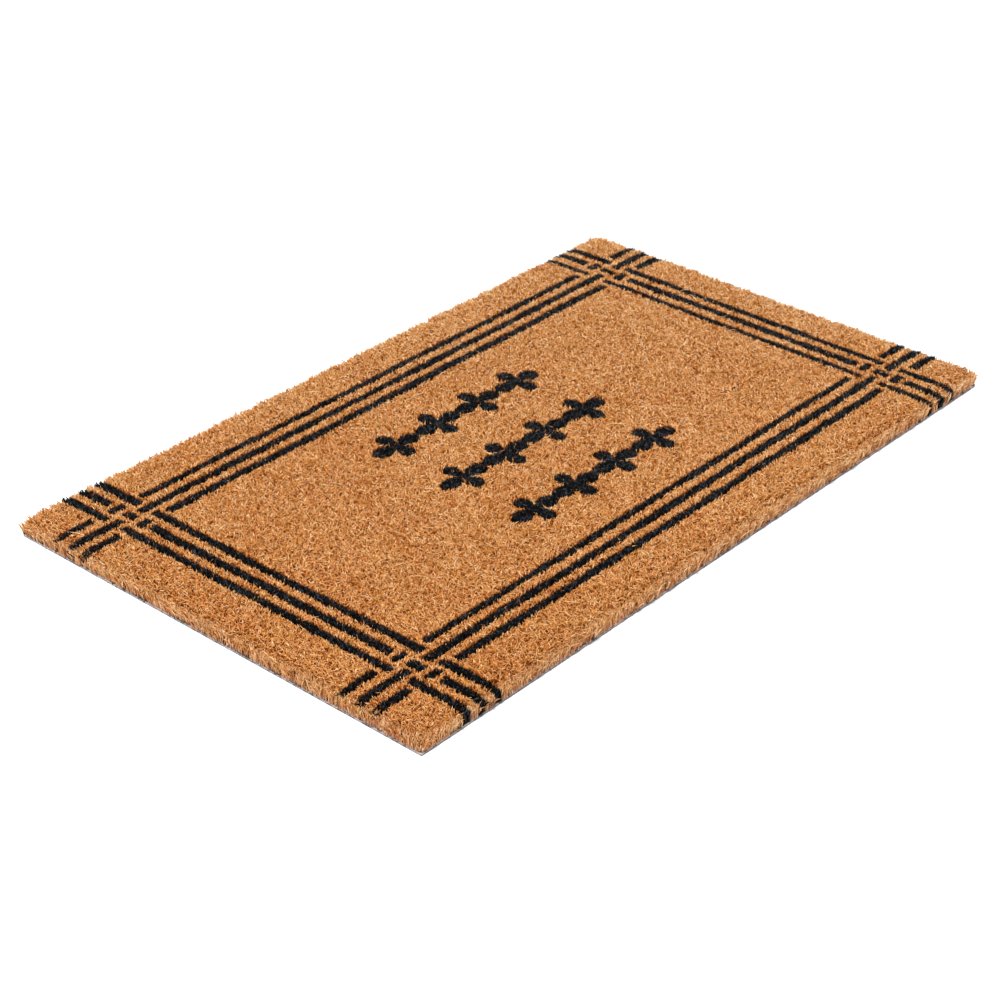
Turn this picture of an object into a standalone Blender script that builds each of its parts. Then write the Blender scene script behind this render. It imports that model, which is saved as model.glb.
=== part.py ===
"""Coir door mat: a cut pile of coir tufts set in a vinyl sheet, with stripes and florets of dyed tufts.

Metres, +Z up. X runs along the mat's length and Y along its width, with the front edge at -Y.
The origin is the middle of the underside, so the mat lies on Z = 0.
"""

import math

import bmesh
import bpy
from mathutils import Vector

# Driving dimensions
LENGTH = 0.762
WIDTH = 0.458
CORNER_RADIUS = 0.005
BACKING_THICKNESS = 0.0025
PILE_HEIGHT = 0.0145  # from the backing's upper face to the cut tips
PILE_INSET = 0.002  # from the backing's edge to the pile's side
PILE_EDGE_ROUND = 0.004  # the tips fall away this much along the mat's edge

STRIPE_WIDTH = 0.008
STRIPE_PITCH = 0.0173
BAND_INSET_X = 0.063  # from a short edge of the mat to the centre of its middle stripe
BAND_INSET_Y = 0.065  # the same from a long edge
WEAVE_GAP = 0.0055  # natural pile between a crossing stripe and the end of the stripe that passes under it
STRIPE_END_CHAMFER = 0.0015

MOTIF_ROWS = 3
MOTIFS_IN_ROW = 4
MOTIF_ROW_PITCH = 0.0807
MOTIF_PITCH = 0.054
PETAL_REACH = 0.0225  # from a floret's centre to the tip of an upright petal
PETAL_NECK = 0.004  # height of the neck where two florets' petals meet
FLORET_CORE = 0.0058  # radius of the solid centre of a floret
PETAL_FULLNESS = 0.62  # smaller is a rounder, fatter petal
POINTS_PER_QUARTER = 10

CLEARANCE = 0.0003  # between a dyed piece and the natural pile, and between pile and backing
CUT_PAST = 0.004  # a cutter runs on this far past the pile, above, below and at the mat's edge

# A band's three stripes, counted from the mat's middle outwards
STRIPE_NAMES = ("inner", "middle", "outer")
SIDES_ALONG_X = (("front", -1), ("back", 1))
SIDES_ALONG_Y = (("left", -1), ("right", 1))

NATURAL_COIR = (0.48, 0.25, 0.09)
BLACK_COIR = (0.012, 0.012, 0.014)
GREY_VINYL = (0.19, 0.19, 0.20)

for old in list(bpy.data.objects):
    bpy.data.objects.remove(old, do_unlink=True)

mat_parts = bpy.data.collections.new("door_mat")
cutters = bpy.data.collections.new("cutters")
stripe_slots = bpy.data.collections.new("stripe_slots")
cutters.children.link(stripe_slots)
for collection in (mat_parts, cutters):
    bpy.context.scene.collection.children.link(collection)


def plain_material(name, colour, roughness):
    material = bpy.data.materials.new(name)
    material.use_nodes = True
    shader = material.node_tree.nodes["Principled BSDF"]
    shader.inputs["Base Color"].default_value = (*colour, 1.0)
    shader.inputs["Roughness"].default_value = roughness
    shader.inputs["Metallic"].default_value = 0.0
    return material


def add_object(name, mesh, collection):
    piece = bpy.data.objects.new(name, mesh)
    collection.objects.link(piece)
    return piece


def add_cutter(name, mesh, collection):
    cutter = add_object(name, mesh, collection)
    cutter.hide_render = True
    cutter.display_type = "WIRE"
    return cutter


def slab_mesh(name, length, width, bottom, top, corner, edge_round):
    """A flat slab with rounded upright corners and, if asked for, a rounded upper edge."""
    shape = bmesh.new()
    bmesh.ops.create_cube(shape, size=1.0)
    bmesh.ops.scale(shape, vec=(length, width, top - bottom), verts=shape.verts)
    bmesh.ops.translate(shape, vec=(0, 0, (bottom + top) / 2), verts=shape.verts)
    upright = [e for e in shape.edges if abs(e.verts[0].co.z - e.verts[1].co.z) > (top - bottom) / 2]
    bmesh.ops.bevel(shape, geom=upright, offset=corner, segments=4, profile=0.5, affect="EDGES")
    if edge_round:
        upper = [f for f in shape.faces if f.normal.z > 0.9]
        rim = list({e for f in upper for e in f.edges})
        bmesh.ops.bevel(shape, geom=rim, offset=edge_round, segments=2, profile=0.5, affect="EDGES")
    mesh = bpy.data.meshes.new(name)
    shape.to_mesh(mesh)
    shape.free()
    return mesh


def grown(outline, by):
    """The outline, counter-clockwise, with each point moved outwards so that every side moves by this much."""
    moved = []
    for i, here in enumerate(outline):
        before = (here - outline[i - 1]).normalized()
        after = (outline[(i + 1) % len(outline)] - here).normalized()
        normals = Vector((before.y, -before.x)), Vector((after.y, -after.x))
        bisector = (normals[0] + normals[1]).normalized()
        moved.append(here + bisector * by / max(bisector.dot(normals[0]), 0.5))
    return moved


def prism_mesh(name, outline, bottom, top):
    """The outline, counter-clockwise seen from above, filled and extruded from bottom to top."""
    shape = bmesh.new()
    face = shape.faces.new([shape.verts.new((p.x, p.y, bottom)) for p in outline])
    raised = bmesh.ops.extrude_face_region(shape, geom=[face])
    upper = [v for v in raised["geom"] if isinstance(v, bmesh.types.BMVert)]
    bmesh.ops.translate(shape, vec=(0, 0, top - bottom), verts=upper)
    bmesh.ops.recalc_face_normals(shape, faces=shape.faces)
    bmesh.ops.triangulate(shape, faces=shape.faces)
    mesh = bpy.data.meshes.new(name)
    shape.to_mesh(mesh)
    shape.free()
    return mesh


# The backing: one flat sheet of vinyl, cut to the mat's size
vinyl = plain_material("grey_vinyl", GREY_VINYL, 0.55)
backing_mesh = slab_mesh("backing", LENGTH, WIDTH, 0.0, BACKING_THICKNESS, CORNER_RADIUS, 0.0)
backing = add_object("backing", backing_mesh, mat_parts)
backing.data.materials.append(vinyl)

# The whole pile's outer form, which the natural pile and the dyed pieces share between them
pile_bottom = BACKING_THICKNESS + CLEARANCE
pile_top = BACKING_THICKNESS + PILE_HEIGHT
pile_length = LENGTH - 2 * PILE_INSET
pile_width = WIDTH - 2 * PILE_INSET
pile_form_mesh = slab_mesh(
    "pile_form", pile_length, pile_width, pile_bottom, pile_top, CORNER_RADIUS, PILE_EDGE_ROUND
)
pile_form = add_cutter("pile_form", pile_form_mesh, cutters)

black_coir = plain_material("black_dyed_coir", BLACK_COIR, 0.9)
natural_coir = plain_material("natural_coir", NATURAL_COIR, 0.9)


def dyed_piece(name, outline):
    """The part of the pile that the outline covers, and its slot in the natural pile around it."""
    low = pile_bottom - CUT_PAST
    high = pile_top + CUT_PAST
    piece = add_object(name, prism_mesh(name, outline, low, high), mat_parts)
    piece.data.materials.append(black_coir)
    shared = piece.modifiers.new("within_the_pile", "BOOLEAN")
    shared.operation = "INTERSECT"
    shared.object = pile_form
    slot_outline = grown(outline, CLEARANCE)
    slot_mesh = prism_mesh(name + "_slot", slot_outline, low, high)
    add_cutter(name + "_slot", slot_mesh, stripe_slots)


def stripe_outline(start, end, across, along_x):
    """A straight stripe from start to end, centred on across, with its four corners cut off."""
    half = STRIPE_WIDTH / 2
    cut = STRIPE_END_CHAMFER
    corners = [
        (start + cut, -half), (end - cut, -half), (end, -half + cut), (end, half - cut),
        (end - cut, half), (start + cut, half), (start, half - cut), (start, -half + cut),
    ]
    if along_x:
        return [Vector((along, across + off)) for along, off in corners]
    return [Vector((across - off, along)) for along, off in corners]


def stripe_line(side, sign, rank, along_x):
    """One stripe from edge to edge, left out where a stripe of the other direction passes over it."""
    length, width = (LENGTH, WIDTH) if along_x else (WIDTH, LENGTH)
    inset, crossed_inset = (BAND_INSET_Y, BAND_INSET_X) if along_x else (BAND_INSET_X, BAND_INSET_Y)
    across = sign * (width / 2 - inset - STRIPE_PITCH * (1 - rank))
    reach = length / 2 + CUT_PAST
    gap = STRIPE_WIDTH / 2 + WEAVE_GAP
    breaks = []
    for crossed in range(len(STRIPE_NAMES)):
        y_stripe_is_over = (rank + crossed) % 2 == 0
        if y_stripe_is_over == along_x:
            breaks.append(length / 2 - crossed_inset - STRIPE_PITCH * (1 - crossed))
    ends = [-reach]
    for at in sorted([-b for b in breaks] + breaks):
        ends += [at - gap, at + gap]
    ends.append(reach)
    spans = list(zip(ends[0::2], ends[1::2]))
    low_end, high_end = ("left", "right") if along_x else ("front", "back")
    kinds = [low_end + "_end", "stripe", high_end + "_end"]
    if len(spans) == 5:
        kinds = [low_end + "_end", low_end + "_dash", "stripe", high_end + "_dash", high_end + "_end"]
    for kind, (start, end) in zip(kinds, spans):
        name = f"{side}_{STRIPE_NAMES[rank]}_{kind}"
        dyed_piece(name, stripe_outline(start, end, across, along_x))


for rank in range(len(STRIPE_NAMES)):
    for side, sign in SIDES_ALONG_X:
        stripe_line(side, sign, rank, along_x=True)
    for side, sign in SIDES_ALONG_Y:
        stripe_line(side, sign, rank, along_x=False)


def floret_point(angle):
    """A point of a floret's outline about its own centre: four petals, on the X and Y axes."""
    reach = MOTIF_PITCH / 2 * math.cos(angle) ** 2 + PETAL_REACH * math.sin(angle) ** 2
    radius = max(reach * abs(math.cos(2 * angle)) ** PETAL_FULLNESS, FLORET_CORE)
    return Vector((radius * math.cos(angle), radius * math.sin(angle)))


def floret_row_outline():
    """A row of florets joined by a neck where their sideways petals meet, counter-clockwise."""
    steps = 2 * POINTS_PER_QUARTER
    row_end = MOTIF_PITCH * MOTIFS_IN_ROW / 2
    upper = []
    for i in range(MOTIFS_IN_ROW):
        centre = Vector((MOTIF_PITCH * (i + 0.5) - row_end, 0))
        if i > 0:
            upper.append(centre + Vector((-MOTIF_PITCH / 2, PETAL_NECK / 2)))
        upper += [centre + floret_point(math.pi * (1 - step / steps)) for step in range(1, steps)]
    lower = [Vector((p.x, -p.y)) for p in upper]
    return [Vector((-row_end, 0)), *lower, Vector((row_end, 0)), *reversed(upper)]


row_outline = floret_row_outline()
for row, place in enumerate(("front", "middle", "back")[:MOTIF_ROWS]):
    y = MOTIF_ROW_PITCH * (row - (MOTIF_ROWS - 1) / 2)
    dyed_piece(f"{place}_floret_row", [p + Vector((0, y)) for p in row_outline])

# The natural pile: one bed of tufts, with a slot for each dyed piece
natural_pile = add_object("natural_pile", pile_form_mesh.copy(), mat_parts)
natural_pile.data.materials.append(natural_coir)
slots = natural_pile.modifiers.new("dyed_slots", "BOOLEAN")
slots.operation = "DIFFERENCE"
slots.operand_type = "COLLECTION"
slots.collection = stripe_slots
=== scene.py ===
import math

import bpy
import numpy as np
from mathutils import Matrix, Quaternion, Vector


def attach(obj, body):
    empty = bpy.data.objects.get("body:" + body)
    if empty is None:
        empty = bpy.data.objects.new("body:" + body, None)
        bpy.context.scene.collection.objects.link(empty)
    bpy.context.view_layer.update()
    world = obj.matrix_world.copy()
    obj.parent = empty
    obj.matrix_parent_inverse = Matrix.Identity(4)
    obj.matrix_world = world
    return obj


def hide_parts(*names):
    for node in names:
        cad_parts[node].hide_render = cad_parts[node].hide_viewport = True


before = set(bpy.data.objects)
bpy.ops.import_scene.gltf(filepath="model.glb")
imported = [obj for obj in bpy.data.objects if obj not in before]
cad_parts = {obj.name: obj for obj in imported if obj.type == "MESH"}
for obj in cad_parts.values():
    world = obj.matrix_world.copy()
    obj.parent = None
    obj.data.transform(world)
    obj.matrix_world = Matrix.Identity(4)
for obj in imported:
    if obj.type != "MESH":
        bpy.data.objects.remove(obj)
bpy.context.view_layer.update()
scene = bpy.context.scene


# ---------------------------------------------------------------------------------------------
# Camera: a long lens looks down over the mat's front left corner, so the long side runs up to
# the right. The mat lies on Z = 0 with X along its length and its front edge at -Y.
# ---------------------------------------------------------------------------------------------
camera_lens = bpy.data.cameras.new("camera")
camera_lens.lens = 85.81  # mm
camera_lens.sensor_width = 36.0
camera_lens.clip_end = 60.0
camera = bpy.data.objects.new("camera", camera_lens)
camera.location = (-1.3955, -1.1939, 1.0597)
aim = Vector((-0.0916, -0.0508, 0.017))
OUT_OF_LEVEL = math.radians(0.21)  # the camera is held a hair out of level
level_view = (aim - camera.location).to_track_quat("-Z", "Y")
camera.rotation_euler = (level_view @ Quaternion((0, 0, 1), OUT_OF_LEVEL)).to_euler()
scene.collection.objects.link(camera)
scene.camera = camera
scene.view_settings.view_transform = "Standard"
scene.view_settings.look = "None"


# ---------------------------------------------------------------------------------------------
# Floor: a smooth studio floor, painted a matt near-white. The mat lies flat on it, unfixed.
# ---------------------------------------------------------------------------------------------
FLOOR_SIZE = 16.0


def linear(hex_colour):
    """An sRGB hex colour as the linear RGBA that a shader takes."""
    parts = [int(hex_colour[i : i + 2], 16) / 255 for i in (1, 3, 5)]
    return [p / 12.92 if p <= 0.04045 else ((p + 0.055) / 1.055) ** 2.4 for p in parts] + [1.0]


def add_node(tree, kind, inputs=None, **settings):
    """Adds a node. inputs gives each socket a value or another node's output."""
    node = tree.nodes.new(kind)
    for name, value in settings.items():
        setattr(node, name, value)
    for socket, value in (inputs or {}).items():
        if isinstance(value, bpy.types.NodeSocket):
            tree.links.new(value, node.inputs[socket])
        else:
            node.inputs[socket].default_value = value
    return node


def add_noise(tree, place, scale, detail=2.0):
    """Soft noise over a piece's own coordinates. A scale of 1 / size gives features of that size."""
    inputs = {"Vector": place.outputs["Object"], "Scale": scale, "Detail": detail}
    return add_node(tree, "ShaderNodeTexNoise", inputs).outputs["Fac"]


def add_ramp(tree, value, *stops):
    """A colour for each value from 0 to 1. stops are places and sRGB colours, in ascending order."""
    node = add_node(tree, "ShaderNodeValToRGB", {"Fac": value})
    bands = node.color_ramp.elements
    for band, (position, colour) in zip(bands, (stops[0], stops[-1])):
        band.position = position
        band.color = linear(colour)
    for position, colour in stops[1:-1]:
        bands.new(position).color = linear(colour)
    return node.outputs["Color"]


def new_material(name, **values):
    """A node material, its tree and its shader. values are the ones that are even all over."""
    material = bpy.data.materials.new(name)
    material.use_nodes = True
    tree = material.node_tree
    shader = tree.nodes["Principled BSDF"]
    for socket, value in values.items():
        shader.inputs[socket.replace("_", " ")].default_value = value
    return material, tree, shader


def add_piece(name, mesh, material=None):
    """Puts a mesh in the scene under this name."""
    piece = bpy.data.objects.new(name, mesh)
    scene.collection.objects.link(piece)
    if material:
        mesh.materials.append(material)
    return piece


# Matt paint: an even white with a very slight cloudiness.
floor_paint, tree, shader = new_material("matt_floor_paint", Roughness=0.9)
place = add_node(tree, "ShaderNodeTexCoord")
clouds = add_noise(tree, place, 1.5)
tint = add_ramp(tree, clouds, (0.3, "#f8f8f8"), (0.7, "#fafafa"))
tree.links.new(tint, shader.inputs["Base Color"])

half = FLOOR_SIZE / 2
floor_mesh = bpy.data.meshes.new("floor")
floor_corners = [(-half, -half, 0), (half, -half, 0), (half, half, 0), (-half, half, 0)]
floor_mesh.from_pydata(floor_corners, [], [(0, 1, 2, 3)])
floor = add_piece("floor", floor_mesh, floor_paint)


# ---------------------------------------------------------------------------------------------
# Light: a white studio all round, and one large soft lamp high up beyond the mat's left end. It
# picks out the fibres' tips and leaves the gaps between them dark.
# ---------------------------------------------------------------------------------------------
studio = bpy.data.worlds.new("studio")
studio.use_nodes = True
studio.node_tree.nodes["Background"].inputs["Color"].default_value = (1.0, 1.0, 1.0, 1.0)
studio.node_tree.nodes["Background"].inputs["Strength"].default_value = 1.2
scene.world = studio


def soft_light(name, location, size, power):
    """A round lamp of this size in metres and power in watts, aimed at the middle of the mat."""
    lamp = bpy.data.lights.new(name, "AREA")
    lamp.shape = "DISK"
    lamp.size = size
    lamp.energy = power
    holder = bpy.data.objects.new(name, lamp)
    holder.location = location
    holder.rotation_euler = (-Vector(location)).to_track_quat("-Z", "Y").to_euler()
    scene.collection.objects.link(holder)


soft_light("key_light", location=(-3.0, -1.3, 5.4), size=2.0, power=460.0)


# ---------------------------------------------------------------------------------------------
# Backing: one sheet of grey PVC, cast round the feet of the tufts and cut to the mat's size.
# Its cut edge shows as a thin line under the pile, flecked with dust, patched dark and coir brown along
# its top, and given painted shade on its long edges and at its foot. It lies loose.
# ---------------------------------------------------------------------------------------------
MM = 0.001
LENGTH = 762 * MM
WIDTH = 458 * MM
BACKING_THICKNESS = 2.5 * MM
CORNER_RADIUS = 1.5 * MM
CORNER_RUN_OUT = 1.2 * MM  # how far out of square the front left corner is cut
EDGE_ROUND = 0.4 * MM


def rounded_outline(length, width, radius, steps=6):
    """The points of a rounded rectangle, counter-clockwise."""
    points = []
    for quarter, (sx, sy) in enumerate([(1, 1), (-1, 1), (-1, -1), (1, -1)]):
        for step in range(steps + 1):
            angle = math.pi / 2 * (quarter + step / steps)
            x = sx * (length / 2 - radius) + radius * math.cos(angle)
            y = sy * (width / 2 - radius) + radius * math.sin(angle)
            points.append((x, y))
    return points


def sheet_mesh(name, outline, rings):
    """A closed flat sheet. rings gives, from the underside up, each ring's height and its inset."""
    count = len(outline)
    verts = []
    faces = []
    for z, inset in rings:
        for x, y in outline:
            verts.append((x - math.copysign(inset, x), y - math.copysign(inset, y), z))
    for ring in range(len(rings) - 1):
        for i in range(count):
            j = (i + 1) % count
            low = ring * count
            faces.append((low + i, low + j, low + count + j, low + count + i))
    faces.append(tuple(reversed(range(count))))
    faces.append(tuple(range(len(verts) - count, len(verts))))
    mesh = bpy.data.meshes.new(name)
    mesh.from_pydata(verts, [], faces)
    mesh.update()
    return mesh


def out_of_square(x, y):
    """Moves a point as the cut does: fully at the front left corner, and not at the other three."""
    by = CORNER_RUN_OUT * (0.5 - x / LENGTH) * (0.5 - y / WIDTH)
    return x - by, y - by


outline = [out_of_square(x, y) for x, y in rounded_outline(LENGTH, WIDTH, CORNER_RADIUS)]
rings = [
    (0.0, EDGE_ROUND),
    (EDGE_ROUND, 0.0),
    (BACKING_THICKNESS - EDGE_ROUND, 0.0),
    (BACKING_THICKNESS, EDGE_ROUND),
]
backing = add_piece("backing_sheet", sheet_mesh("backing_sheet", outline, rings))


def add_mix(tree, share, under, over, blend="MIX"):
    """One colour laid over another, as much as share says."""
    inputs = {"Factor": share, 6: under, 7: over}
    return add_node(tree, "ShaderNodeMix", inputs, data_type="RGBA", blend_type=blend).outputs[2]


def add_math(tree, operation, *values):
    """A sum on one or two values, each a number or another node's output."""
    inputs = dict(enumerate(values))
    return add_node(tree, "ShaderNodeMath", inputs, operation=operation).outputs["Value"]


def add_range(tree, value, start, end, low, high):
    """low up to where the value is start, high from where it is end, and even in between."""
    inputs = {"Value": value, "From Min": start, "From Max": end, "To Min": low, "To Max": high}
    return add_node(tree, "ShaderNodeMapRange", inputs).outputs["Result"]


def add_relief(tree, shader, height, strength, depth):
    """Fine relief of this depth in metres."""
    inputs = {"Height": height, "Strength": strength, "Distance": depth}
    relief = add_node(tree, "ShaderNodeBump", inputs)
    tree.links.new(relief.outputs["Normal"], shader.inputs["Normal"])


# Plasticised PVC: a dull mid grey with a fine calendered grain of about 0.8 mm, drawn at 1.5 mm
# to show. Coir dust pressed into it shows as dark brown specks 2 to 5 mm across.
vinyl, tree, shader = new_material("calendered_pvc", Roughness=0.5)
place = add_node(tree, "ShaderNodeTexCoord")
height = add_node(tree, "ShaderNodeSeparateXYZ", {"Vector": place.outputs["Object"]}).outputs["Z"]
faces = add_node(tree, "ShaderNodeSeparateXYZ", {"Vector": place.outputs["Normal"]})
blotches = add_noise(tree, place, 60.0, 3.0)
vinyl_colour = add_ramp(tree, blotches, (0.3, "#5c5e63"), (0.5, "#80848b"), (0.7, "#9da2ab"))
specks = add_noise(tree, place, 1 / (5 * MM))
speck_mask = add_ramp(tree, specks, (0.52, "#000000"), (0.58, "#ffffff"))
vinyl_colour = add_mix(tree, speck_mask, vinyl_colour, linear("#3d342e"))
# Painted shade: the long edges are a little browner and darker than the short ends.
long_edge_shade = add_math(tree, "ABSOLUTE", faces.outputs["Y"])
vinyl_colour = add_mix(tree, long_edge_shade, vinyl_colour, linear("#c8c2be"), "MULTIPLY")
# Round its side, the lowest millimetre is darkened with painted contact shadow where it meets the floor.
low_down = add_range(tree, height, 1.5 * MM, 0.4 * MM, 0.0, 0.8)
flat_on = add_math(tree, "ABSOLUTE", faces.outputs["Z"])
on_side = add_math(tree, "SUBTRACT", 1.0, flat_on)
contact_shade = add_math(tree, "MULTIPLY", low_down, on_side)
vinyl_colour = add_mix(tree, contact_shade, vinyl_colour, linear("#2c2b2b"))
# Along its upper edge, under the pile, it is patched dark brown, grey and coir brown, in patches 1 to 4 mm
# long.
upper_edge_noise = add_noise(tree, place, 1 / (4 * MM))
upper_edge_colour = add_ramp(tree, upper_edge_noise, (0.42, "#2f2926"), (0.48, "#786d66"), (0.56, "#b3855a"))
upper_edge_share = add_range(tree, height, 1.4 * MM, 2.3 * MM, 0.0, 0.75)
vinyl_colour = add_mix(tree, upper_edge_share, vinyl_colour, upper_edge_colour)
tree.links.new(vinyl_colour, shader.inputs["Base Color"])
grain_inputs = {"Vector": place.outputs["Object"], "Scale": 1 / (1.5 * MM)}
grain = add_node(tree, "ShaderNodeTexVoronoi", grain_inputs)
add_relief(tree, shader, grain.outputs["Distance"], strength=0.25, depth=0.2 * MM)
backing.data.materials.append(vinyl)
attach(backing, "root")
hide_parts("backing")


# ---------------------------------------------------------------------------------------------
# Feet of the pile: the same coir yarn, which below the cut tips stands so dense that it reads as one
# dark bed. The backing holds it by its feet. It stops just short of the outermost tufts.
# ---------------------------------------------------------------------------------------------
PILE_BOTTOM = 2.8 * MM
PILE_TOP = 17 * MM
FEET_TOP = 12.3 * MM
FEET_INSET = 4.0 * MM
FEET_GRID = 3.0 * MM
FEET_UNEVEN = 0.6 * MM
FEET_SLOPE = 3 * MM  # the bed falls away over about this much of its side, by this much:
FEET_DROP = 6 * MM


def drift(x, y, size, seed):
    """Smooth random values from -1 to 1 over the mat, with features about size across."""
    spots = np.random.default_rng(seed).uniform(-1, 1, (256, 256))
    u = x / size + 128
    v = y / size + 128
    i = np.floor(u).astype(int)
    j = np.floor(v).astype(int)
    a = u - i
    b = v - j
    a = a * a * (3 - 2 * a)
    b = b * b * (3 - 2 * b)
    i %= 255
    j %= 255
    low = spots[i, j] * (1 - a) + spots[i + 1, j] * a
    high = spots[i, j + 1] * (1 - a) + spots[i + 1, j + 1] * a
    return low * (1 - b) + high * b


def fill_mesh(name, verts, corners, starts, uv=None):
    """A mesh from arrays: the vertices, all faces' corners in a row, and where each face starts."""
    mesh = bpy.data.meshes.new(name)
    mesh.vertices.add(len(verts))
    mesh.vertices.foreach_set("co", verts.astype(np.float32).ravel())
    mesh.loops.add(len(corners))
    mesh.loops.foreach_set("vertex_index", corners.astype(np.int32))
    mesh.polygons.add(len(starts))
    mesh.polygons.foreach_set("loop_start", starts.astype(np.int32))
    if uv is not None:
        layer = mesh.uv_layers.new(name="OFBake")
        layer.uv.foreach_set("vector", uv[corners].astype(np.float32).ravel())
    mesh.update(calc_edges=True)
    mesh.polygons.foreach_set("use_smooth", np.ones(len(starts), bool))
    return mesh


def feet_mesh():
    """A closed slab with an uneven upper face that falls away towards its sides."""
    across = int((LENGTH - 2 * FEET_INSET) / FEET_GRID)
    along = int((WIDTH - 2 * FEET_INSET) / FEET_GRID)
    x, y = np.meshgrid(
        np.linspace(-LENGTH / 2 + FEET_INSET, LENGTH / 2 - FEET_INSET, across),
        np.linspace(-WIDTH / 2 + FEET_INSET, WIDTH / 2 - FEET_INSET, along),
        indexing="ij",
    )
    side = np.minimum(LENGTH / 2 - FEET_INSET - abs(x), WIDTH / 2 - FEET_INSET - abs(y))
    z = FEET_TOP + FEET_UNEVEN * drift(x, y, 4 * MM, seed=1) - FEET_DROP * np.exp(-side / FEET_SLOPE)
    top = np.stack([x, y, z], -1)
    bottom = np.stack([x, y, np.full_like(x, PILE_BOTTOM)], -1)
    verts = np.concatenate([top.reshape(-1, 3), bottom.reshape(-1, 3)])
    at = np.arange(across * along).reshape(across, along)
    quads = np.stack([at[:-1, :-1], at[1:, :-1], at[1:, 1:], at[:-1, 1:]], -1).reshape(-1, 4)
    under = across * along
    rim = np.concatenate([at[:, 0], at[-1, 1:], at[-2::-1, -1], at[0, -2:0:-1]])
    after = np.roll(rim, -1)
    walls = np.stack([rim + under, after + under, after, rim], -1)
    faces = np.concatenate([quads, quads[:, ::-1] + under, walls])
    return fill_mesh("pile_feet", verts, faces.ravel(), np.arange(len(faces)) * 4)


# Packed coir, in shade: dark brown, streaked at about the 4 mm pitch of the tufts.
packed_coir, tree, shader = new_material("packed_coir_feet", Roughness=0.85)
place = add_node(tree, "ShaderNodeTexCoord")
yarns = add_noise(tree, place, 1 / (4 * MM), 3.0)
yarn_tone = add_ramp(tree, yarns, (0.35, "#7a3e0b"), (0.65, "#b56d2a"))
tree.links.new(yarn_tone, shader.inputs["Base Color"])
add_relief(tree, shader, yarns, strength=0.6, depth=0.8 * MM)
feet = add_piece("pile_feet", feet_mesh(), packed_coir)
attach(feet, "root")
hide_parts("natural_pile")


# ---------------------------------------------------------------------------------------------
# Natural tufts: undyed coir yarn, pressed into the soft PVC and sheared level, so each tuft is a
# few coarse fibres that lean and curl together. At the mat's edge nothing holds them, so they splay.
# ---------------------------------------------------------------------------------------------
TUFT_PITCH = 3.6 * MM
FIBRES_IN_TUFT = 8
TUFT_SPREAD = 1.1 * MM
PILE_INSET = 0.3 * MM
PILE_CORNER = 6 * MM
SPLAY_ZONE = 10.0 * MM  # how far in from the pile's edge the tufts lean outwards
OPEN_ZONE = 5.0 * MM  # how far in from the edge the fibres show down to the backing
SIDE_SHADE_ZONE = 6.0 * MM  # the outermost tufts carry painted light and painted shade on the pile's side, fading out this far in
SHOULDER = 14.0 * MM  # the cut tips fall away over this much of the edge, by this much:
SHOULDER_DROP = 3.0 * MM
FIBRE_HEIGHT = PILE_TOP - PILE_BOTTOM
FIBRE_RADIUS = 0.46 * MM  # coir is 0.1 to 0.4 mm thick, drawn coarser so that single fibres show
CORNER_BLEND = 6 * MM  # near a corner, the way outwards turns from one side's to the other's over this
JITTER = 0.42  # how far a tuft strays on its grid, as a share of the pitch
# Looks 2 to 4 carry painted light and shade on the pile's side; look 4 is also near black towards its
# foot.
STRAW, RED, SIDE_SHADED_STRAW, SIDE_SHADED_RED, DARK_FOOTED_STRAW = range(5)  # a fibre's look
LOOKS = 5
WIDEST_DRAW = 2.2  # normal draws are held within this many standard deviations


def edge_depth(x, y):
    """How far inside the pile's edge a point lies, and the way outwards from it."""
    corner = PILE_CORNER
    px = abs(x) - (LENGTH / 2 - PILE_INSET - corner)
    py = abs(y) - (WIDTH / 2 - PILE_INSET - corner)
    outside = np.hypot(np.maximum(px, 0), np.maximum(py, 0))
    depth = corner - outside - np.minimum(np.maximum(px, py), 0)
    wx = np.exp(np.minimum(px, CORNER_BLEND) / CORNER_BLEND)
    wy = np.exp(np.minimum(py, CORNER_BLEND) / CORNER_BLEND)
    size = np.hypot(wx, wy)
    return depth, np.sign(x) * wx / size, np.sign(y) * wy / size


def scatter_tufts(pitch, seed):
    """Tuft centres on a jittered grid over the whole pile."""
    draw = np.random.default_rng(seed)
    nx = int((LENGTH - 2 * PILE_INSET) / pitch)
    ny = int((WIDTH - 2 * PILE_INSET) / pitch)
    x, y = np.meshgrid(np.arange(nx) + 0.5, np.arange(ny) + 0.5, indexing="ij")
    x = x + 0.5 * (np.arange(ny) % 2) - 0.25 + draw.uniform(-JITTER, JITTER, x.shape)
    y = y + draw.uniform(-JITTER, JITTER, y.shape)
    x = (x / nx - 0.5) * (LENGTH - 2 * PILE_INSET)
    y = (y / ny - 0.5) * (WIDTH - 2 * PILE_INSET)
    keep = edge_depth(x, y)[0] > 0
    return x[keep], y[keep]


def edge_tufts(pitch, seed, insets):
    """Tuft centres in close rows round the mat, where the pile's side shows."""
    draw = np.random.default_rng(seed)
    xs = []
    ys = []
    for inset in insets:
        corners = np.array(rounded_outline(LENGTH - 2 * inset, WIDTH - 2 * inset, PILE_CORNER - inset))
        corners = np.concatenate([corners, corners[:1]])
        lengths = np.hypot(*np.diff(corners, axis=0).T)
        total = np.append(0, np.cumsum(lengths))
        at = np.arange(0, total[-1], pitch)
        at = at + draw.uniform(-0.4, 0.4, len(at)) * pitch
        x, y = out_of_square(np.interp(at, total, corners[:, 0]), np.interp(at, total, corners[:, 1]))
        xs.append(x + 0.3 * MM * draw.normal(size=len(at)))
        ys.append(y + 0.3 * MM * draw.normal(size=len(at)))
    return np.concatenate(xs), np.concatenate(ys)


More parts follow.
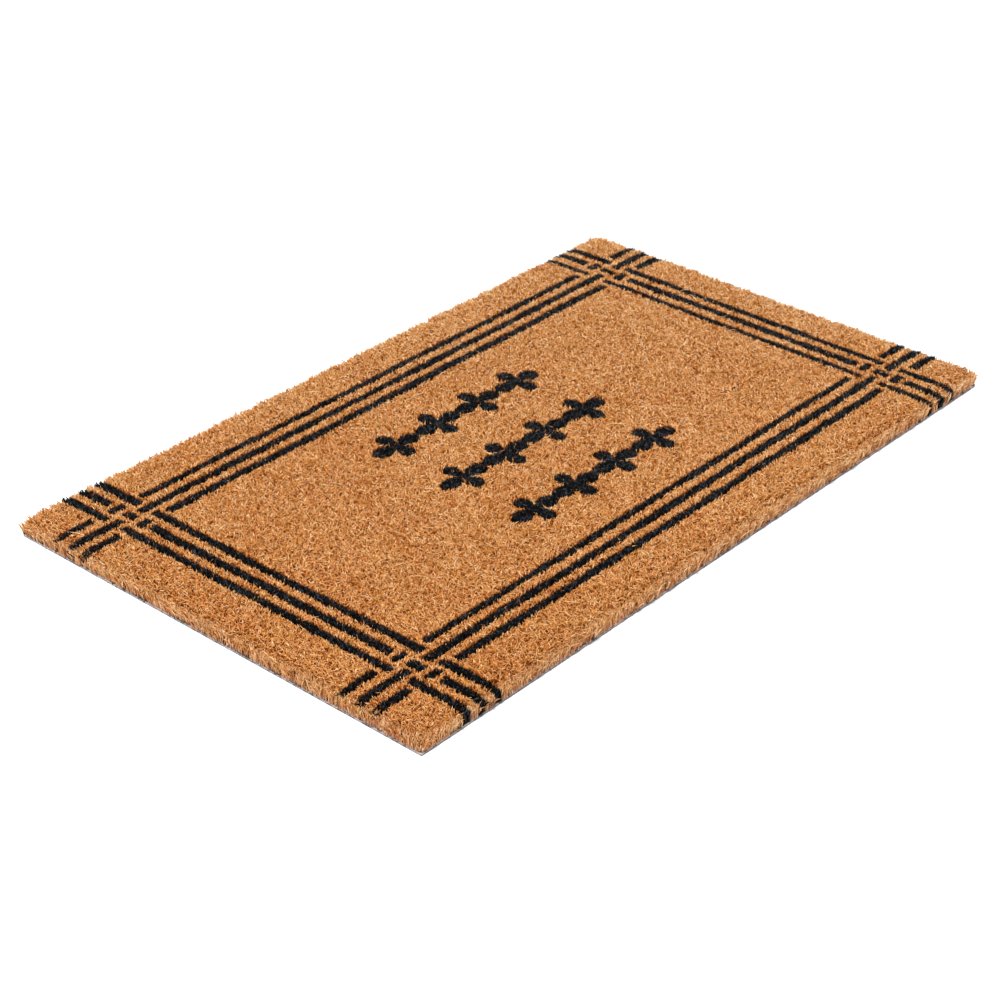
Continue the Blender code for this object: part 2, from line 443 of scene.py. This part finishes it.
def grow_fibres(cx, cy, seed, per_tuft=FIBRES_IN_TUFT, spread=TUFT_SPREAD, cut=(1.0, 1.0)):
    """Every fibre's root, lean, curl, height and shade, tuft by tuft."""
    draw = np.random.default_rng(seed)

    def scatter(size):
        return np.clip(draw.normal(size=size), -WIDEST_DRAW, WIDEST_DRAW)

    depth, out_x, out_y = edge_depth(cx, cy)
    count = len(cx)
    splay = np.clip(1 - depth / SPLAY_ZONE, 0, 1) ** 1.3 * (0.03 + 0.13 * scatter(count))
    lean_x = 0.10 * drift(cx, cy, 30 * MM, seed=2) + 0.10 * scatter(count) + out_x * splay
    lean_y = 0.10 * drift(cx, cy, 30 * MM, seed=3) + 0.10 * scatter(count) + out_y * splay
    near_side = np.clip(1 - depth / SHOULDER, 0, 1)
    level = 0.2 * MM * scatter(count) + 0.3 * MM * drift(cx, cy, 25 * MM, seed=4)
    level -= near_side**2 * SHOULDER_DROP
    level += 0.7 * MM * near_side * drift(cx, cy, 9 * MM, seed=7)
    # From the front left to the back right the coir is a little paler, less red and more mixed.
    across_mat = cx / LENGTH + 0.4 * cy / WIDTH
    tone = 0.05 * scatter(count) + 0.02 * drift(cx, cy, 42 * MM, seed=5)
    tone += 0.03 * drift(cx, cy, 16 * MM, seed=6)
    tone += 0.04 * across_mat
    contrast = 0.30 + 0.10 * across_mat
    redness = 0.12 - 0.20 * across_mat + 0.22 * drift(cx, cy, 24 * MM, seed=8)
    tuft = np.repeat(np.arange(count), per_tuft)
    n = len(tuft)
    free = np.clip(depth[tuft] / OPEN_ZONE, 0.6, 1)
    # The outermost tufts take painted light and shade on the pile's side, fading out inwards, and in spots
    # dark feet.
    side_shading = np.clip((SIDE_SHADE_ZONE - depth) / (SIDE_SHADE_ZONE - 1 * MM), 0, 1)
    dark_foot_spot = drift(cx, cy, 4 * MM, seed=9) > 0.3
    fibres = {
        "x": cx[tuft] + spread * scatter(n),
        "y": cy[tuft] + spread * scatter(n),
        "lean_x": lean_x[tuft] + 0.12 * scatter(n),
        "lean_y": lean_y[tuft] + 0.12 * scatter(n),
        "curl_x": 0.27 * free * scatter(n),
        "curl_y": 0.29 * free * scatter(n),
        "height": (FIBRE_HEIGHT + level[tuft] + 0.42 * MM * scatter(n)) * draw.uniform(*cut, n),
        "shade": 0.5 + tone[tuft] + contrast[tuft] * scatter(n),
        "look": np.where(draw.uniform(0, 1, n) < redness[tuft], RED, STRAW),
        "radius": FIBRE_RADIUS * np.exp(0.22 * scatter(n)),
        "turn": draw.uniform(0, 2 * math.pi, n),
        "wave": 0.5 * MM * abs(scatter(n)),
        "wave_rate": draw.uniform(0.6, 1.3, n),
        "wave_start": draw.uniform(0, 1, n),
        "dye": scatter(n),
        "depth": depth[tuft],
    }
    clean = fibres["look"]
    side_look = np.where(clean == RED, SIDE_SHADED_RED, SIDE_SHADED_STRAW)
    takes_side_shade = (draw.uniform(0, 1, n) < side_shading[tuft]) & (fibres["depth"] < OPEN_ZONE)
    fibres["look"] = np.where(takes_side_shade, np.where(dark_foot_spot[tuft], DARK_FOOTED_STRAW, side_look), clean)
    return fibres


def along_fibre(fibres, t):
    """The place on each fibre at t, from 0 at its foot to 1 at its tip. It leans, waves and hooks over."""
    swing = fibres["wave"] * np.sin(2 * math.pi * (fibres["wave_rate"] * t + fibres["wave_start"]))
    bend_x = fibres["lean_x"] * t + fibres["curl_x"] * t**5
    bend_y = fibres["lean_y"] * t + fibres["curl_y"] * t**5
    x = fibres["x"] + fibres["height"] * bend_x + swing * np.cos(fibres["turn"])
    y = fibres["y"] + fibres["height"] * bend_y + swing * np.sin(fibres["turn"])
    return np.stack([x, y, PILE_BOTTOM + fibres["height"] * t], -1)


SIDES = 3  # of a fibre, in cross-section
# In its map a fibre is a thin strip, this wide either side of its shade, and its foot is lifted a
# little at one corner, so that each face has some area there.
SHADE_WIDTH = 0.004
FOOT_LIFT = 0.02
TIP_SHARE = 0.97  # of a look's share of V


def fibre_mesh(name, parts):
    """Tapered fibres in one mesh.

    Each part gives its fibres' lines (n, levels, 3), radii (n, levels), shades, looks and turns, and where
    along a whole fibre's length they start. In their map U is the shade, and V the length, look by look.
    """
    all_verts = []
    all_corners = []
    all_starts = []
    all_uv = []
    verts_so_far = 0
    corners_so_far = 0
    for line, radius, shade, look, turn, first_share in parts:
        n, levels = radius.shape
        if n == 0:
            continue
        axis = line[:, -1] - line[:, 0]
        axis /= np.linalg.norm(axis, axis=1, keepdims=True)
        aside = np.stack([np.cos(turn), np.sin(turn), np.full(n, 0.1)], -1)
        u = np.cross(axis, aside)
        u /= np.linalg.norm(u, axis=1, keepdims=True)
        v = np.cross(axis, u)
        rings = levels - 1  # the last level is the tip, a single point
        angles = np.arange(SIDES) * 2 * math.pi / SIDES
        around = np.cos(angles)[None, :, None] * u[:, None] + np.sin(angles)[None, :, None] * v[:, None]
        body = line[:, :rings, None] + radius[:, :rings, None, None] * around[:, None]
        verts = np.concatenate([body.reshape(n, rings * SIDES, 3), line[:, -1:]], 1)
        per = rings * SIDES + 1
        shares = np.linspace(first_share, TIP_SHARE, levels)
        u_at = np.append(np.tile(np.array([-1.0, 0.0, 1.0]) * SHADE_WIDTH, rings), 0.0)
        v_at = np.append(np.repeat(shares[:-1], SIDES), shares[-1])
        v_at[1] += FOOT_LIFT
        uv = np.empty((n, per, 2))
        uv[..., 0] = np.clip(shade, 0.02, 0.98)[:, None] + u_at
        uv[..., 1] = (v_at + look[:, None]) / LOOKS
        corners = list(reversed(range(SIDES)))
        starts = [0]
        for ring in range(rings):
            for side in range(SIDES):
                a = ring * SIDES + side
                b = ring * SIDES + (side + 1) % SIDES
                starts.append(len(corners))
                corners += [a, b, b + SIDES, a + SIDES] if ring < rings - 1 else [a, b, rings * SIDES]
        step = np.arange(n)[:, None]
        all_verts.append(verts.reshape(-1, 3))
        all_uv.append(uv.reshape(-1, 2))
        all_corners.append((np.array(corners)[None] + step * per + verts_so_far).ravel())
        all_starts.append((np.array(starts)[None] + step * len(corners) + corners_so_far).ravel())
        verts_so_far += n * per
        corners_so_far += n * len(corners)
    return fill_mesh(
        name,
        np.concatenate(all_verts),
        np.concatenate(all_corners),
        np.concatenate(all_starts),
        np.concatenate(all_uv),
    )


WHOLE_LEVELS = (0.0, 0.30, 0.56, 0.80, 1.0)
UPPER_LEVELS = (0.64, 0.88, 1.0)


def tuft_mesh(name, fibres, chosen):
    """The chosen fibres, whole where they show down to the backing and only their upper part elsewhere."""
    whole = fibres["depth"] < OPEN_ZONE
    kinds = [(chosen & whole, WHOLE_LEVELS, 0.3), (chosen & ~whole, UPPER_LEVELS, 0.03)]
    parts = []
    for pick, levels, first_share in kinds:
        some = {key: value[pick] for key, value in fibres.items()}
        line = np.stack([along_fibre(some, t) for t in levels], 1)
        taper = np.append(np.linspace(1.0, 0.9, len(levels) - 1), 0.0)
        radius = some["radius"][:, None] * taper
        parts.append((line, radius, some["shade"], some["look"], some["turn"], first_share))
    return fibre_mesh(name, parts)


# Where the dye lies. The pattern is sprayed through a stencil, so it wanders a little and its edge
# is ragged: three stripes along each side, interlaced at the corners, and three rows of florets.
STRIPES = 3
STRIPE_WIDTH = 8 * MM
STRIPE_PITCH = 17.3 * MM
BAND_INSET_X = 63 * MM
BAND_INSET_Y = 65 * MM
WEAVE_GAP = 5.5 * MM  # natural pile between a crossing stripe and the end of the one under it
MOTIF_ROWS = 3
MOTIFS_IN_ROW = 4
MOTIF_ROW_PITCH = 80.7 * MM
MOTIF_PITCH = 54 * MM
PETAL_REACH = 22.5 * MM
PETAL_NECK = 4 * MM
FLORET_CORE = 5.8 * MM
PETAL_FULLNESS = 0.62
FRAYED = 0.25 * MM  # how unevenly the dye's edge runs from fibre to fibre
STIFF_EDGE = 1.0 * MM  # the dye stiffens the fibres this near its edge
MISSED_SHARE = 0.01  # of the fibres inside the pattern, these don't take the dye
# The stencil is laid by eye, so each band sits a little off, and its stripes' widths differ.
BAND_SHIFT = {"front": 0.9 * MM, "back": 1.4 * MM, "left": 2.6 * MM, "right": 0.5 * MM}
STRIPE_WIDTHS = {
    "front": (7.0 * MM, 8.2 * MM, 8.2 * MM),
    "back": (8.7 * MM, 8.2 * MM, 7.4 * MM),
    "left": (8.6 * MM, 9.0 * MM, 8.3 * MM),
    "right": (6.7 * MM, 9.0 * MM, 7.6 * MM),
}


def in_stripe(along, across, band, rank):
    """How far inside one stripe each point lies, in metres. Outside it is negative."""
    along_x = band in ("front", "back")
    sign = 1 if band in ("back", "right") else -1
    length, width = (LENGTH, WIDTH) if along_x else (WIDTH, LENGTH)
    inset, crossed_inset = (BAND_INSET_Y, BAND_INSET_X) if along_x else (BAND_INSET_X, BAND_INSET_Y)
    crossed_bands = ("left", "right") if along_x else ("front", "back")
    seed = 40 + rank * 4 + (sign > 0) * 2 + along_x
    middle = sign * (width / 2 - inset - STRIPE_PITCH * (1 - rank)) + BAND_SHIFT[band]
    wander = 0.5 * MM * drift(along, along * 0 + rank * 0.1, 55 * MM, seed)
    half_width = STRIPE_WIDTHS[band][rank] / 2 + 0.5 * MM * drift(along, along * 0 + 0.7, 22 * MM, seed)
    inside = half_width - abs(across - middle - wander)
    for crossed in range(STRIPES):
        y_stripe_is_over = (rank + crossed) % 2 == 0
        if y_stripe_is_over != along_x:
            continue
        at = length / 2 - crossed_inset - STRIPE_PITCH * (1 - crossed)
        gap = STRIPE_WIDTH / 2 + WEAVE_GAP
        for end, crossed_band in zip((-1, 1), crossed_bands):
            past = abs(along - end * at - BAND_SHIFT[crossed_band]) - gap
            inside = np.minimum(inside, past + 0.8 * MM * drift(along, across, 5 * MM, seed))
    return inside


def in_floret_row(x, y, row):
    """How far inside a row of four-petalled florets each point lies, roughly."""
    y = y - MOTIF_ROW_PITCH * (row - (MOTIF_ROWS - 1) / 2)
    row_end = MOTIF_PITCH * MOTIFS_IN_ROW / 2
    cell = np.clip(np.floor((x + row_end) / MOTIF_PITCH), 0, MOTIFS_IN_ROW - 1)
    x_off = x + row_end - (cell + 0.5) * MOTIF_PITCH
    angle = np.arctan2(y, x_off)
    reach = MOTIF_PITCH / 2 * np.cos(angle) ** 2 + PETAL_REACH * np.sin(angle) ** 2
    radius = np.maximum(reach * abs(np.cos(2 * angle)) ** PETAL_FULLNESS, FLORET_CORE)
    petal = (radius - np.hypot(x_off, y)) * 0.7
    neck = PETAL_NECK / 2 - abs(y)
    neck[abs(x) > row_end - MOTIF_PITCH / 2] = -1.0
    neck[abs(abs(x_off) - MOTIF_PITCH / 2) > 3 * MM] = -1.0
    return np.maximum(petal, neck)


DYED_GROUPS = ("front", "back", "left", "right", "front_floret", "middle_floret", "back_floret")


def dyed_group(x, y, ragged):
    """Which group's dye each point takes, or -1 where the coir is natural."""
    group = np.full(len(x), -1)
    best = np.zeros(len(x))
    for number, band in enumerate(DYED_GROUPS):
        if number < 2:
            inside = np.maximum.reduce([in_stripe(x, y, band, rank) for rank in range(STRIPES)])
        elif number < 4:
            inside = np.maximum.reduce([in_stripe(y, x, band, rank) for rank in range(STRIPES)])
        else:
            inside = in_floret_row(x, y, number - 4)
        inside = inside + ragged
        taken = inside > best
        group[taken] = number
        best[taken] = inside[taken]
    return group


def dye_fibres(fibres):
    """Each fibre's group. A fibre at the dye's edge stands upright, as the drying dye holds it."""
    ragged = FRAYED * fibres["dye"]
    low, high = (along_fibre(fibres, t) for t in (0.82, 1.0))
    crossing = dyed_group(low[:, 0], low[:, 1], ragged) != dyed_group(high[:, 0], high[:, 1], ragged)
    x, y = high[:, 0], high[:, 1]
    crossing |= dyed_group(x, y, ragged - STIFF_EDGE) != dyed_group(x, y, ragged + STIFF_EDGE)
    held = np.where(fibres["depth"] > OPEN_ZONE, 0.15, 0.45)
    for key in ("lean_x", "lean_y", "curl_x", "curl_y", "wave"):
        fibres[key] = np.where(crossing, held * fibres[key], fibres[key])
    shown = along_fibre(fibres, 0.9)
    open_edge = fibres["depth"] < OPEN_ZONE
    x = np.where(open_edge, (fibres["x"] + shown[:, 0]) / 2, shown[:, 0])
    y = np.where(open_edge, (fibres["y"] + shown[:, 1]) / 2, shown[:, 1])
    group = dyed_group(x, y, ragged)
    missed = fibres["turn"] < 2 * math.pi * MISSED_SHARE
    # The spray comes from above and doesn't reach the outermost fibres of the left end.
    left_flank = (x < -LENGTH / 2 + 12 * MM) & (fibres["depth"] < 1.6 * MM)
    group[missed | left_flank] = -1
    return group


# The bed itself, closer rows round the rim, and short broken fibres along the foot of its side.
bed = grow_fibres(*scatter_tufts(TUFT_PITCH, seed=10), seed=11)
rim = edge_tufts(3.2 * MM, seed=13, insets=(1.0 * MM, 2.6 * MM))
rim = grow_fibres(*rim, seed=15, per_tuft=9, spread=0.8 * MM)
fringe = edge_tufts(2.2 * MM, seed=16, insets=(0.8 * MM,))
fringe = grow_fibres(*fringe, seed=17, per_tuft=4, spread=0.5 * MM, cut=(0.25, 0.7))
# Under the dye the fibres clump, so a second, thinner bed is added there and nowhere else.
extra = grow_fibres(*scatter_tufts(TUFT_PITCH * 1.2, seed=14), seed=12)
fibres = {key: np.concatenate([bed[key], rim[key], fringe[key]]) for key in bed}
group = dye_fibres(fibres)
extra_group = dye_fibres(extra)
dyed = extra_group >= 0
fibres = {key: np.concatenate([fibres[key], extra[key][dyed]]) for key in fibres}
group = np.concatenate([group, extra_group[dyed]])

# Natural coir: coconut husk fibre, neither bleached nor dyed. It runs from straw to red-brown from fibre
# to fibre, and has a slight waxy glint. Each fibre is darker towards its foot, which is painted shade.
natural_coir, tree, shader = new_material(
    "natural_coir_fibre", Roughness=0.62, Specular_IOR_Level=0.14
)
on_fibre = add_node(tree, "ShaderNodeUVMap", uv_map="OFBake")
on_fibre = add_node(tree, "ShaderNodeSeparateXYZ", {"Vector": on_fibre.outputs["UV"]})
shade = on_fibre.outputs["X"]
by_look = add_math(tree, "MULTIPLY", on_fibre.outputs["Y"], float(LOOKS))
look = add_math(tree, "FLOOR", by_look)
length_share = add_math(tree, "FRACT", by_look)
is_red = add_math(tree, "MODULO", look, 2.0)
is_side_shaded = add_math(tree, "GREATER_THAN", look, SIDE_SHADED_STRAW - 0.5)
is_dark_footed = add_math(tree, "GREATER_THAN", look, DARK_FOOTED_STRAW - 0.5)
straw_tone = add_ramp(
    tree,
    shade,
    (0.0, "#8a4806"),
    (0.25, "#b27029"),
    (0.5, "#c99355"),
    (0.75, "#d7a773"),
    (1.0, "#e8caa0"),
)
red_tone = add_ramp(
    tree,
    shade,
    (0.0, "#753006"),
    (0.25, "#a55c26"),
    (0.5, "#c07e46"),
    (0.75, "#d29662"),
    (1.0, "#e3b689"),
)
# Painted shade: each fibre darkens towards its foot and is palest towards its tip.
along = add_ramp(
    tree,
    length_share,
    (0.0, "#d3a06e"),
    (0.4, "#ebcda8"),
    (0.75, "#ffffff"),
    (1.0, "#fffaf4"),
)
coir_colour = add_mix(tree, is_red, straw_tone, red_tone)
coir_colour = add_mix(tree, 1.0, coir_colour, along, "MULTIPLY")
# Painted light and shade on the pile's side: pale grey and thick near the sheet, darker grey and thinner
# further up.
side_shade_colour = add_ramp(tree, length_share, (0.31, "#b6b3ae"), (0.54, "#5c5557"))
side_shade_share = add_math(tree, "MULTIPLY", is_side_shaded, add_range(tree, length_share, 0.31, 0.54, 0.4, 0.2))
coir_colour = add_mix(tree, side_shade_share, coir_colour, side_shade_colour)
# In spots, the outer fibres are near black towards their foot.
dark_foot_share = add_math(tree, "MULTIPLY", is_dark_footed, add_range(tree, length_share, 0.51, 0.37, 0.0, 0.8))
coir_colour = add_mix(tree, dark_foot_share, coir_colour, linear("#2e2927"))
tree.links.new(coir_colour, shader.inputs["Base Color"])

# The natural pile is one bed, cut into 15 meshes of a manageable size.
COLUMNS = ("left", "mid_left", "middle", "mid_right", "right")
ROWS = ("front", "middle", "back")
column = np.clip(((fibres["x"] / LENGTH + 0.5) * len(COLUMNS)).astype(int), 0, len(COLUMNS) - 1)
row = np.clip(((fibres["y"] / WIDTH + 0.5) * len(ROWS)).astype(int), 0, len(ROWS) - 1)
for i, column_name in enumerate(COLUMNS):
    for j, row_name in enumerate(ROWS):
        name = f"natural_tufts_{column_name}_{row_name}"
        chosen = (group < 0) & (column == i) & (row == j)
        tufts = add_piece(name, tuft_mesh(name, fibres, chosen), natural_coir)
        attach(tufts, "root")
        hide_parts("natural_pile")


# ---------------------------------------------------------------------------------------------
# Loose fibres: shearing leaves some longer, finer coir fibres lying curled on top of the pile, caught
# among the tufts. Most are pale, and few lie over the dye, which goes on afterwards.
# ---------------------------------------------------------------------------------------------
LOOSE_FIBRES = 260
LOOSE_RADIUS = 0.27 * MM
LOOSE_LEVELS = 9


def loose_fibre_mesh(name, seed):
    """Fibres that lie in flat arcs 8 to 17 mm long and rise a little in the middle."""
    draw = np.random.default_rng(seed)
    n = LOOSE_FIBRES
    steps = LOOSE_LEVELS - 1
    x = draw.uniform(-LENGTH / 2 + 4 * MM, LENGTH / 2 - 4 * MM, n)
    y = draw.uniform(-WIDTH / 2 + 4 * MM, WIDTH / 2 - 4 * MM, n)
    heading = draw.uniform(0, 2 * math.pi, n)
    step_length = draw.uniform(8, 17, n) * MM / steps
    turning = draw.uniform(-2.0, 2.0, n) / steps
    places = []
    for _ in range(LOOSE_LEVELS):
        places.append(np.stack([x, y], -1))
        x = x + step_length * np.cos(heading)
        y = y + step_length * np.sin(heading)
        heading = heading + turning
    flat = np.stack(places, 1)
    depth = edge_depth(flat[..., 0], flat[..., 1])[0]
    drop = np.clip(1 - depth / SHOULDER, 0, 1) ** 2 * SHOULDER_DROP
    arch = np.sin(np.linspace(0.0, math.pi, LOOSE_LEVELS))
    rise = arch * draw.uniform(0.2, 1.1, n)[:, None] * MM
    line = np.concatenate([flat, (PILE_TOP - 0.5 * MM - drop + rise)[..., None]], -1)
    taper = np.append(np.linspace(1.0, 0.7, steps), 0.0)
    radius = LOOSE_RADIUS * draw.uniform(0.7, 1.2, n)[:, None] * taper
    shade = draw.uniform(0.62, 0.98, n)
    look = np.where(draw.uniform(0, 1, n) < 0.15, RED, STRAW)
    turn = draw.uniform(0, 2 * math.pi, n)
    middle = flat[:, steps // 2]
    on_dye = dyed_group(middle[:, 0], middle[:, 1], 2 * MM) >= 0
    kept = (depth.min(axis=1) > 0.5 * MM) & (~on_dye | (draw.uniform(0, 1, n) < 0.06))
    return fibre_mesh(name, [(line[kept], radius[kept], shade[kept], look[kept], turn[kept], 0.6)])


loose = add_piece("loose_fibres", loose_fibre_mesh("loose_fibres", seed=21), natural_coir)
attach(loose, "root")
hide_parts("natural_pile")


# ---------------------------------------------------------------------------------------------
# Dyed tufts: the same coir yarn in the same sheet, sprayed black through a stencil once the pile is
# sheared. The dye glues the fibres into denser clumps and dulls them.
# ---------------------------------------------------------------------------------------------
# Black pigment on coir: near black, with a cool grey painted glint on the few fibres at the top of the
# shade ramp.
black_coir, tree, shader = new_material(
    "black_dyed_coir_fibre", Roughness=0.5, Specular_IOR_Level=0.06
)
on_fibre = add_node(tree, "ShaderNodeUVMap", uv_map="OFBake")
on_fibre = add_node(tree, "ShaderNodeSeparateXYZ", {"Vector": on_fibre.outputs["UV"]})
dye_and_glint_tone = add_ramp(
    tree,
    on_fibre.outputs["X"],
    (0.0, "#010101"),
    (0.4, "#030304"),
    (0.7, "#0c0d10"),
    (1.0, "#494c50"),
)
tree.links.new(dye_and_glint_tone, shader.inputs["Base Color"])

for number, place_name in enumerate(DYED_GROUPS):
    is_row = "floret" in place_name
    name = f"{place_name}_row_tufts" if is_row else f"{place_name}_stripes_tufts"
    tufts = add_piece(name, tuft_mesh(name, fibres, group == number), black_coir)
    stood_for = [
        node
        for node in sorted(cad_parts)
        if node.startswith(place_name + "_") and ("floret" in node) == is_row
    ]
    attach(tufts, "root")
    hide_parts(*stood_for)
